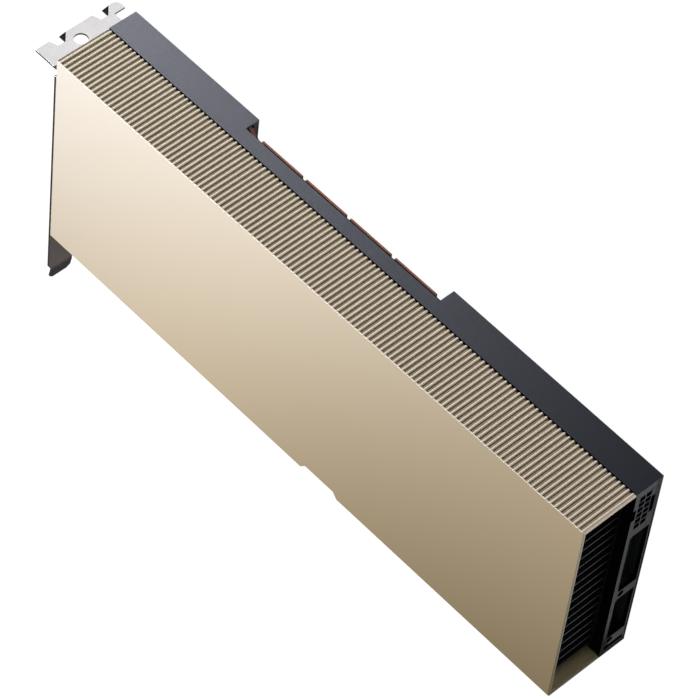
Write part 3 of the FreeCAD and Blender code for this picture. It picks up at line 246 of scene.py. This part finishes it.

# each tint has a colour and where it lies: "toward" with its "turn" from none to all of it, "slopes", or the
# "reach" of a crevice; a later tint lies over an earlier one, and "lastTints" lie over the worn and
# highlighted edges; many tints are painted light and shade
finishes = {
    "champagneAnodising": {
        "colour": (0.61, 0.57, 0.47), "clouded": (0.64, 0.6, 0.49), "cloudScale": 14.0,
        "grainScale": 2600.0, "roughness": (0.36, 0.46), "bump": 0.12, "bumpDepth": 0.00005,
        "edgeRadius": 0.0002, "edgeAmount": 0.5, "edgeColour": (0.88, 0.82, 0.72),
        "shader": {"Metallic": 0.45},
        "tints": [
            {"colour": (0.68, 0.6, 0.49), "slopes": [farSlope]},  # painted light: lighter and warmer toward the open end
            # ribs: painted highlight on the sides that face the bracket, painted shade on their steep sides
            # and in their valleys
            {"colour": (1.0, 0.93, 0.82), "toward": (-1.0, 0.0, 0.0), "turn": (0.0, 0.45), "slopes": [ribs]},
            {"colour": (0.35, 0.28, 0.2), "blend": "MULTIPLY", "toward": (-1.0, 0.0, 0.0),
             "turn": (0.7, 0.95), "slopes": [ribs]},
            {"colour": (0.5, 0.42, 0.32), "blend": "MULTIPLY", "toward": (1.0, 0.0, 0.0),
             "turn": (0.2, 0.95), "slopes": [ribs]},
            {"colour": (0.85, 0.8, 0.72), "blend": "MULTIPLY", "slopes": [ribs, ribValleys]},
            # painted shade in grooves and corners, deepest in the rib valleys
            {"colour": (0.42, 0.36, 0.26), "blend": "MULTIPLY", "reach": 0.0012},
            # painted highlight on the lip along the face, and a painted shade line on the last rib beside the
            # open end
            {"colour": (1.0, 0.95, 0.84), "toward": (0.0, 1.0, 0.0), "turn": (0.3, 0.6),
             "slopes": [ribs, fade("z", 0.0385, 7000.0)]},
            {"colour": (0.62, 0.57, 0.5), "blend": "MULTIPLY", "toward": (0.0, 1.0, 0.0),
             "slopes": [fade("x", 0.1382, 3000.0), fade("x", 0.1393, -4000.0)]},
            # face: painted light and shade, pale at the ribbed edge by the bracket and deep gold at the far
            # lower corner
            {**coverFace, "colour": (0.658, 0.605, 0.539)},
            {**coverFace, "colour": (0.523, 0.446, 0.342), "slopes": [lowSlope]},
            {**coverFace, "colour": (0.69, 0.541, 0.339), "slopes": [farSlope]},
            {**coverFace, "colour": (0.415, 0.313, 0.169), "slopes": [lowSlope, farSlope]},
            # lower side, and painted highlights on the face's bevels
            {"colour": (0.5, 0.43, 0.32), "toward": (0.0, -1.0, 0.0)},
            {"colour": (0.88, 0.8, 0.68), "toward": (0.0, -0.707, 0.707), "turn": (0.9, 0.98)},
            {"colour": (0.88, 0.8, 0.68), "toward": (-0.707, 0.0, 0.707), "turn": (0.9, 0.98)},
            # open end: lower wall with painted shade deepening inward, end faces with painted light
            # dimming toward the low corner, and lower lip
            {"colour": (0.52, 0.43, 0.25), "toward": (0.0, 1.0, 0.0), "metallic": 0.0,
             "slopes": [lowerWall]},
            {"colour": (0.01, 0.01, 0.008), "toward": (0.0, 1.0, 0.0),
             "slopes": [lowerWall, fade("x", 0.1365, -160.0)]},
            {**coverEnd, "colour": (0.6, 0.5, 0.36), "slopes": [mouth]},
            {**coverEnd, "colour": (0.12, 0.1, 0.05), "slopes": [mouth, lowSlope]},
            {"colour": (0.16, 0.13, 0.075), "toward": (0.707, 0.707, 0.0), "turn": (0.8, 0.95),
             "metallic": 0.1, "slopes": [fade("x", 0.137, 1000.0), fade("y", -0.0325, -2000.0)]}],
        "lastTints": [
            # painted highlight on the open end's chamfer, dimmed toward the low corner
            {**endChamfer, "colour": (1.0, 0.95, 0.8), "slopes": [mouthChamfer]},
            {**endChamfer, "colour": (0.45, 0.34, 0.2), "slopes": [mouthChamfer, lowSlope]}]},
    "darkPowderCoat": {
        "colour": (0.176, 0.181, 0.211), "clouded": (0.186, 0.191, 0.223), "cloudScale": 18.0,
        "grainScale": 2200.0, "fleck": 0.12, "roughness": (0.42, 0.56), "bump": 0.2, "bumpDepth": 0.00006,
        "edgeRadius": 0.0002, "edgeAmount": 0.12, "edgeColour": (0.12, 0.12, 0.13),
        "shader": {"Specular IOR Level": 0.01},
        "tints": [
            {"colour": (0.037, 0.041, 0.052), "slopes": [farSlope]},  # painted shade, darker toward the open end
            # end wall, from its top to its foot
            {**frameEnd, "colour": (0.215, 0.222, 0.238)},
            {**frameEnd, "colour": (0.225, 0.227, 0.235), "slopes": [lowSlope]},
            # painted shadow line beside the link tabs, and painted shade on the link notch's near end
            {"colour": (0.01, 0.01, 0.012), "toward": (0.0, 1.0, 0.0),
             "slopes": [fade("y", 0.062, 2000.0), fade("z", 0.0079, -6000.0), fade("x", -0.0523, 2000.0),
                        fade("x", 0.0381, -2000.0)]},
            {**frameEnd, "colour": (0.08, 0.082, 0.088), "slopes": [fade("x", -0.03, -300.0)]},
            # end wall: low post and foot near black, painted shade on the faces inside the openings
            # and along the outer border
            {**frameEnd, "colour": (0.004, 0.004, 0.005),
             "slopes": [fade("y", -0.0125, -75.0), fade("z", 0.0095, 800.0)]},
            {**frameEnd, "colour": (0.015, 0.015, 0.016), "slopes": [fade("y", -0.0318, -1500.0)]},
            {**frameEnd, "colour": (0.004, 0.004, 0.005),
             "slopes": [fade("x", 0.1392, -2000.0), fade("x", 0.12, 500.0)]},
            {"colour": (0.004, 0.004, 0.005), "toward": (1.0, 0.0, 0.0),
             "slopes": [fade("z", 0.0023, -2500.0)]},
            {**frameEnd, "colour": (0.13, 0.135, 0.145),
             "slopes": [fade("y", 0.043, 400.0), fade("z", 0.0042, -1500.0)]},
            # back edges near black; painted shade on the faces inside the top wall and on the deck
            {"colour": (0.004, 0.004, 0.005), "toward": (0.0, 0.0, -1.0), "turn": (0.3, 0.6)},
            {"colour": (0.004, 0.004, 0.005), "toward": (0.0, 1.0, 0.0),
             "slopes": [fade("y", 0.0628, -1000.0)]},
            {"colour": (0.004, 0.004, 0.005), "toward": (0.0, 0.0, 1.0)}]},
    "darkSheet": {"colour": (0.03, 0.03, 0.034), "clouded": (0.04, 0.04, 0.045), "cloudScale": 16.0,
                  "grainScale": 1500.0, "roughness": (0.45, 0.6), "bump": 0.15, "bumpDepth": 0.00005,
                  "edgeRadius": 0.0002, "edgeAmount": 0.4, "edgeColour": (0.14, 0.14, 0.15)},
    "blackScrew": {"colour": (0.03, 0.03, 0.032), "clouded": (0.05, 0.05, 0.05), "cloudScale": 200.0,
                   "grainScale": 3000.0, "roughness": (0.25, 0.4), "bump": 0.1, "bumpDepth": 0.00003,
                   "edgeRadius": 0.0001, "edgeAmount": 0.6, "edgeColour": (0.3, 0.3, 0.3),
                   "shader": {"Metallic": 0.8}},
    "platedSteel": {
        "colour": (0.66, 0.64, 0.65), "clouded": (0.74, 0.72, 0.73), "cloudScale": 60.0,
        "grainScale": 1500.0, "fleck": 0.08, "roughness": (0.26, 0.4), "bump": 0.12, "bumpDepth": 0.00004,
        "edgeRadius": 0.00015, "edgeAmount": 0.12, "edgeColour": (0.85, 0.85, 0.85),
        "shader": {"Metallic": 1.0, "Specular IOR Level": 0.01},
        "tints": [
            # painted shade and dark reflection on the flange's slanting faces, on edges that face the same
            # way as the cover's face, on the inner side and on the foot
            {"colour": (0.015, 0.013, 0.013), "toward": (0.0, 1.0, 0.0), "turn": (0.999, 0.985),
             "metallic": 0.0, "slopes": [fade("y", 0.0573, 4000.0)]},
            {"colour": (0.02, 0.018, 0.018), "toward": (0.0, 0.0, 1.0), "metallic": 0.0},
            {**steelEnd, "colour": (0.215, 0.185, 0.18), "metallic": 0.1},
            {**steelEnd, "colour": (0.029, 0.027, 0.026), "metallic": 0.0,
             "slopes": [fade("y", -0.0555, -350.0)]}]},
    "boardLaminate": {
        "colour": (0.012, 0.03, 0.02), "clouded": (0.018, 0.04, 0.026), "cloudScale": 40.0,
        "grainScale": 1200.0, "roughness": (0.3, 0.42), "bump": 0.1, "bumpDepth": 0.00004,
        "edgeRadius": 0.0001, "edgeAmount": 0.3, "edgeColour": (0.3, 0.2, 0.12),
        "shader": {"Specular IOR Level": 0.04},
        "tints": [  # bare edges of the link tabs, with painted shade on their component side
            {"colour": (0.5, 0.21, 0.15), "toward": (0.0, 1.0, 0.0), "slopes": [linkTabs]},
            {"colour": (0.3, 0.12, 0.08), "toward": (1.0, 0.0, 0.0), "slopes": [linkTabs]},
            {"colour": (0.3, 0.12, 0.08), "toward": (-1.0, 0.0, 0.0), "slopes": [linkTabs]},
            {"colour": (0.03, 0.012, 0.008), "toward": (0.0, 0.0, 1.0), "slopes": [linkTabs]}]},
    "goldPlating": {"colour": (0.83, 0.6, 0.22), "clouded": (0.87, 0.66, 0.28), "cloudScale": 300.0,
                    "grainScale": 4000.0, "roughness": (0.18, 0.3), "bump": 0.06, "bumpDepth": 0.00002,
                    "edgeRadius": 0.00005, "edgeAmount": 0.3, "edgeColour": (0.9, 0.75, 0.45),
                    "shader": {"Metallic": 1.0}},
    "packageLaminate": {"colour": (0.05, 0.16, 0.07), "clouded": (0.06, 0.18, 0.08), "cloudScale": 100.0,
                        "grainScale": 2000.0, "roughness": (0.3, 0.42), "bump": 0.1, "bumpDepth": 0.00003,
                        "edgeRadius": 0.0001, "edgeAmount": 0.3, "edgeColour": (0.3, 0.3, 0.2)},
    "silicon": {"colour": (0.12, 0.13, 0.15), "clouded": (0.16, 0.17, 0.2), "cloudScale": 80.0,
                "grainScale": 3000.0, "roughness": (0.08, 0.14), "bump": 0.02, "bumpDepth": 0.00001,
                "edgeRadius": 0.00005, "edgeAmount": 0.3, "edgeColour": (0.3, 0.3, 0.3),
                "shader": {"Metallic": 0.6}},
    "nickelPlate": {"colour": (0.55, 0.53, 0.5), "clouded": (0.6, 0.58, 0.55), "cloudScale": 60.0,
                    "grainScale": 2000.0, "roughness": (0.25, 0.38), "bump": 0.08, "bumpDepth": 0.00003,
                    "edgeRadius": 0.0001, "edgeAmount": 0.4, "edgeColour": (0.75, 0.73, 0.7),
                    "shader": {"Metallic": 1.0}},
    "greyPaste": {"colour": (0.42, 0.42, 0.43), "clouded": (0.5, 0.5, 0.5), "cloudScale": 150.0,
                  "grainScale": 1500.0, "roughness": (0.5, 0.7), "bump": 0.3, "bumpDepth": 0.00005,
                  "edgeRadius": 0.0001, "edgeAmount": 0.1, "edgeColour": (0.5, 0.5, 0.5)},
    "nickelledCopper": {"colour": (0.5, 0.42, 0.36), "clouded": (0.56, 0.47, 0.4), "cloudScale": 40.0,
                        "grainScale": 1800.0, "roughness": (0.28, 0.4), "bump": 0.08, "bumpDepth": 0.00003,
                        "edgeRadius": 0.0001, "edgeAmount": 0.4, "edgeColour": (0.75, 0.6, 0.5),
                        "shader": {"Metallic": 1.0}},
    # near-black fins: partly a dark finish, partly painted shade for the unlit inside of the open end
    "darkFinMetal": {"colour": (0.012, 0.012, 0.013), "clouded": (0.02, 0.02, 0.021), "cloudScale": 30.0,
                     "grainScale": 1500.0, "roughness": (0.4, 0.55), "bump": 0.1, "bumpDepth": 0.00003,
                     "edgeRadius": 0.0001, "edgeAmount": 0.25, "edgeColour": (0.07, 0.07, 0.07),
                     "shader": {"Metallic": 0.7}},
    "springSteel": {"colour": (0.4, 0.4, 0.4), "clouded": (0.46, 0.46, 0.46), "cloudScale": 50.0,
                    "grainScale": 900.0, "stretch": (0.12, 1.0, 1.0), "roughness": (0.28, 0.4), "bump": 0.1,
                    "bumpDepth": 0.00003, "edgeRadius": 0.0001, "edgeAmount": 0.5,
                    "edgeColour": (0.7, 0.7, 0.7), "shader": {"Metallic": 1.0}},
    "mouldedChip": {"colour": (0.02, 0.02, 0.022), "clouded": (0.028, 0.028, 0.03), "cloudScale": 200.0,
                    "grainScale": 5000.0, "roughness": (0.45, 0.6), "bump": 0.2, "bumpDepth": 0.00003,
                    "edgeRadius": 0.0001, "edgeAmount": 0.2, "edgeColour": (0.1, 0.1, 0.1)},
    "tantalumCase": {"colour": (0.5, 0.33, 0.1), "clouded": (0.55, 0.37, 0.12), "cloudScale": 200.0,
                     "grainScale": 4000.0, "roughness": (0.4, 0.55), "bump": 0.15, "bumpDepth": 0.00003,
                     "edgeRadius": 0.0001, "edgeAmount": 0.2, "edgeColour": (0.65, 0.45, 0.2)},
    "ceramic": {"colour": (0.4, 0.3, 0.2), "clouded": (0.46, 0.35, 0.24), "cloudScale": 600.0,
                "grainScale": 6000.0, "roughness": (0.35, 0.5), "bump": 0.1, "bumpDepth": 0.00002,
                "edgeRadius": 0.0001, "edgeAmount": 0.2, "edgeColour": (0.6, 0.5, 0.4)},
    "ferrite": {"colour": (0.06, 0.06, 0.062), "clouded": (0.08, 0.08, 0.082), "cloudScale": 200.0,
                "grainScale": 3500.0, "roughness": (0.5, 0.65), "bump": 0.25, "bumpDepth": 0.00004,
                "edgeRadius": 0.0001, "edgeAmount": 0.3, "edgeColour": (0.18, 0.18, 0.18)},
    "softPad": {"colour": (0.5, 0.56, 0.62), "clouded": (0.54, 0.6, 0.66), "cloudScale": 150.0,
                "grainScale": 2500.0, "roughness": (0.6, 0.75), "bump": 0.2, "bumpDepth": 0.00004,
                "edgeRadius": 0.0001, "edgeAmount": 0.1, "edgeColour": (0.7, 0.7, 0.75)},
    "blackNylon": {"colour": (0.015, 0.015, 0.016), "clouded": (0.022, 0.022, 0.023), "cloudScale": 80.0,
                   "grainScale": 2500.0, "roughness": (0.35, 0.5), "bump": 0.15, "bumpDepth": 0.00003,
                   "edgeRadius": 0.00012, "edgeAmount": 0.3, "edgeColour": (0.08, 0.08, 0.08)},
    "seamShadow": {"colour": (0.01, 0.01, 0.011), "clouded": (0.016, 0.016, 0.018), "cloudScale": 300.0,
                   "grainScale": 4000.0, "roughness": (0.6, 0.75), "bump": 0.1, "bumpDepth": 0.00001,
                   "edgeRadius": 0.00003, "edgeAmount": 0.1, "edgeColour": (0.03, 0.03, 0.03),
                   "shader": {"Specular IOR Level": 0.04}},
    "tinnedPin": {"colour": (0.6, 0.6, 0.6), "clouded": (0.66, 0.66, 0.66), "cloudScale": 300.0,
                  "grainScale": 3000.0, "roughness": (0.2, 0.32), "bump": 0.05, "bumpDepth": 0.00002,
                  "edgeRadius": 0.00006, "edgeAmount": 0.3, "edgeColour": (0.8, 0.8, 0.8),
                  "shader": {"Metallic": 1.0}},
}
made = {name: makeFinish(name, look) for name, look in finishes.items()}

for entry in frame["record"]["subparts"]:  # each node gets the finish of its slot in the record
    words = entry["material_slot"].split("_")
    finish = made[words[0] + "".join(word.capitalize() for word in words[1:])]
    nodes[entry["node"]].data.materials.clear()
    nodes[entry["node"]].data.materials.append(finish)
print("finishes laid on", len(nodes), "nodes")


seamLook = {"high": 0.06, "start": 0.0065, "bend": 0.0036, "low": 0.0568, "end": 0.002,
            "width": 0.00022, "thickness": 0.00003, "turnSteps": 12}


def makeSeam(look, wall):
    # a painted shadow line in the end wall's seam, drawn at x = wall: a straight run along its upper border,
    # then a quarter ellipse, y = low + (high - low) cos a and z = bend - (bend - end) sin a; a thin box
    # section follows the line
    angle = np.linspace(0.0, np.pi / 2, look["turnSteps"])
    y = np.append(look["high"], look["low"] + (look["high"] - look["low"]) * np.cos(angle))
    z = np.append(look["start"], look["bend"] - (look["bend"] - look["end"]) * np.sin(angle))
    line = np.stack([y, z], -1)
    along = np.gradient(line, axis=0)
    along /= np.linalg.norm(along, axis=1)[:, None]
    side = np.stack([-along[:, 1], along[:, 0]], -1) * look["width"] / 2
    rings = []
    for sign, x in ((1, 0.0), (1, look["thickness"]), (-1, look["thickness"]), (-1, 0.0)):
        edge = line + sign * side
        rings.append(np.column_stack([np.full(len(y), wall + x), edge]))
    points = np.stack(rings, 1).reshape(-1, 3)
    index = np.arange(len(points)).reshape(-1, 4)
    sides = [np.stack([index[:-1, k], index[1:, k], index[1:, (k + 1) % 4], index[:-1, (k + 1) % 4]], -1)
             for k in range(4)]
    faces = np.concatenate(sides + [index[:1], index[-1:, ::-1]])
    mesh = bpy.data.meshes.new("endWallSeam")
    mesh.from_pydata(points.tolist(), [], faces.tolist())
    mesh.validate()
    mesh.materials.append(made["seamShadow"])
    piece = bpy.data.objects.new("endWallSeam", mesh)
    scene.collection.objects.link(piece)
    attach(piece, "root")
    return piece


makeSeam(seamLook, cadBox[1][0])
print("seam laid on the end wall")


stageLook = {"size": 12.0, "drop": -0.0004, "steps": 5, "tone": (0.8, 0.8, 0.8), "glow": 1.08,
             "glowShare": 0.92}


def makeFloor(look):  # a flat grid, pale for lamps and near white to the camera and in reflections
    half, steps = look["size"] / 2, look["steps"]
    u, v = np.meshgrid(np.linspace(-half, half, steps), np.linspace(-half, half, steps))
    points = np.stack([u, v, np.full_like(u, look["drop"])], -1).reshape(-1, 3)
    index = np.arange(steps * steps).reshape(steps, steps)
    faces = np.stack([index[:-1, :-1], index[:-1, 1:], index[1:, 1:], index[1:, :-1]], -1).reshape(-1, 4)
    mesh = bpy.data.meshes.new("floor")
    mesh.from_pydata(points.tolist(), [], faces.tolist())
    floor = bpy.data.objects.new("floor", mesh)
    scene.collection.objects.link(floor)
    material = bpy.data.materials.new("paleFloor")
    material.use_nodes = True
    tree = material.node_tree
    tree.nodes.clear()
    pale = addNode(tree, "BsdfDiffuse", {"Color": (*look["tone"], 1.0)})
    glow = addNode(tree, "Emission", {"Color": (1.0, 1.0, 1.0, 1.0), "Strength": look["glow"]})
    path = addNode(tree, "LightPath").outputs
    seen = addNode(tree, "Math", {0: path["Is Camera Ray"], 1: path["Is Glossy Ray"]}, operation="ADD",
                   use_clamp=True).outputs[0]
    seen = addNode(tree, "Math", {0: seen, 1: path["Is Transmission Ray"]}, operation="ADD",
                   use_clamp=True).outputs[0]
    share = addNode(tree, "Math", {0: seen, 1: look["glowShare"]}, operation="MULTIPLY").outputs[0]
    mixed = addNode(tree, "MixShader", {0: share, 1: pale.outputs[0], 2: glow.outputs[0]})
    tree.links.new(mixed.outputs[0], addNode(tree, "OutputMaterial").inputs["Surface"])
    mesh.materials.append(material)
    return floor


makeFloor(stageLook)

worldLook = {"tone": (1.0, 1.0, 1.0), "strength": 0.2}
world = bpy.data.worlds.new("studio")
scene.world = world
world.use_nodes = True
sky = world.node_tree.nodes["Background"]
sky.inputs["Color"].default_value = (*worldLook["tone"], 1.0)
sky.inputs["Strength"].default_value = worldLook["strength"]

lamps = {
    "key": {"place": (-0.345, 0.155, 0.40), "aim": (0.0, 0.02, 0.02), "size": (0.3, 0.3), "watts": 4.1},
    "rim": {"place": (-0.45, -0.55, 0.45), "aim": (0.0, 0.02, 0.02), "size": (0.3, 0.3), "watts": 0.5},
}


def aimed(place, aim):  # turned so that local -Z runs from place to aim
    back = np.array(place) - np.array(aim)
    back /= np.linalg.norm(back)
    side = np.cross((0.0, 0.0, 1.0), back)
    side /= np.linalg.norm(side)
    turned = Matrix(np.stack([side, np.cross(back, side), back], 1).tolist()).to_4x4()
    turned.translation = place
    return turned


for name, lamp in lamps.items():
    data = bpy.data.lights.new(name, "AREA")
    data.shape = "RECTANGLE"
    data.size, data.size_y = lamp["size"]
    data.energy = lamp["watts"]
    light = bpy.data.objects.new(name, data)
    light.matrix_world = aimed(lamp["place"], lamp["aim"])
    scene.collection.objects.link(light)

viewLook = {"place": (0.582847, 1.131815, 0.679093), "lens": 205.996, "sensor": 36.0, "clip": (0.01, 40.0),
            "right": (0.67927955, 0.0829012, -0.72918221), "up": (-0.6125311, 0.61130378, -0.50111211),
            "back": (0.40420904, 0.78704199, 0.46602571)}
cameraData = bpy.data.cameras.new("camera")
cameraData.lens = viewLook["lens"]
cameraData.sensor_width = viewLook["sensor"]
cameraData.clip_start, cameraData.clip_end = viewLook["clip"]
camera = bpy.data.objects.new("camera", cameraData)
turned = Matrix(np.stack([viewLook["right"], viewLook["up"], viewLook["back"]], 1).tolist()).to_4x4()
turned.translation = viewLook["place"]
camera.matrix_world = turned
scene.collection.objects.link(camera)
scene.camera = camera
scene.view_settings.view_transform = "Standard"
print("stage, lamps and camera set")
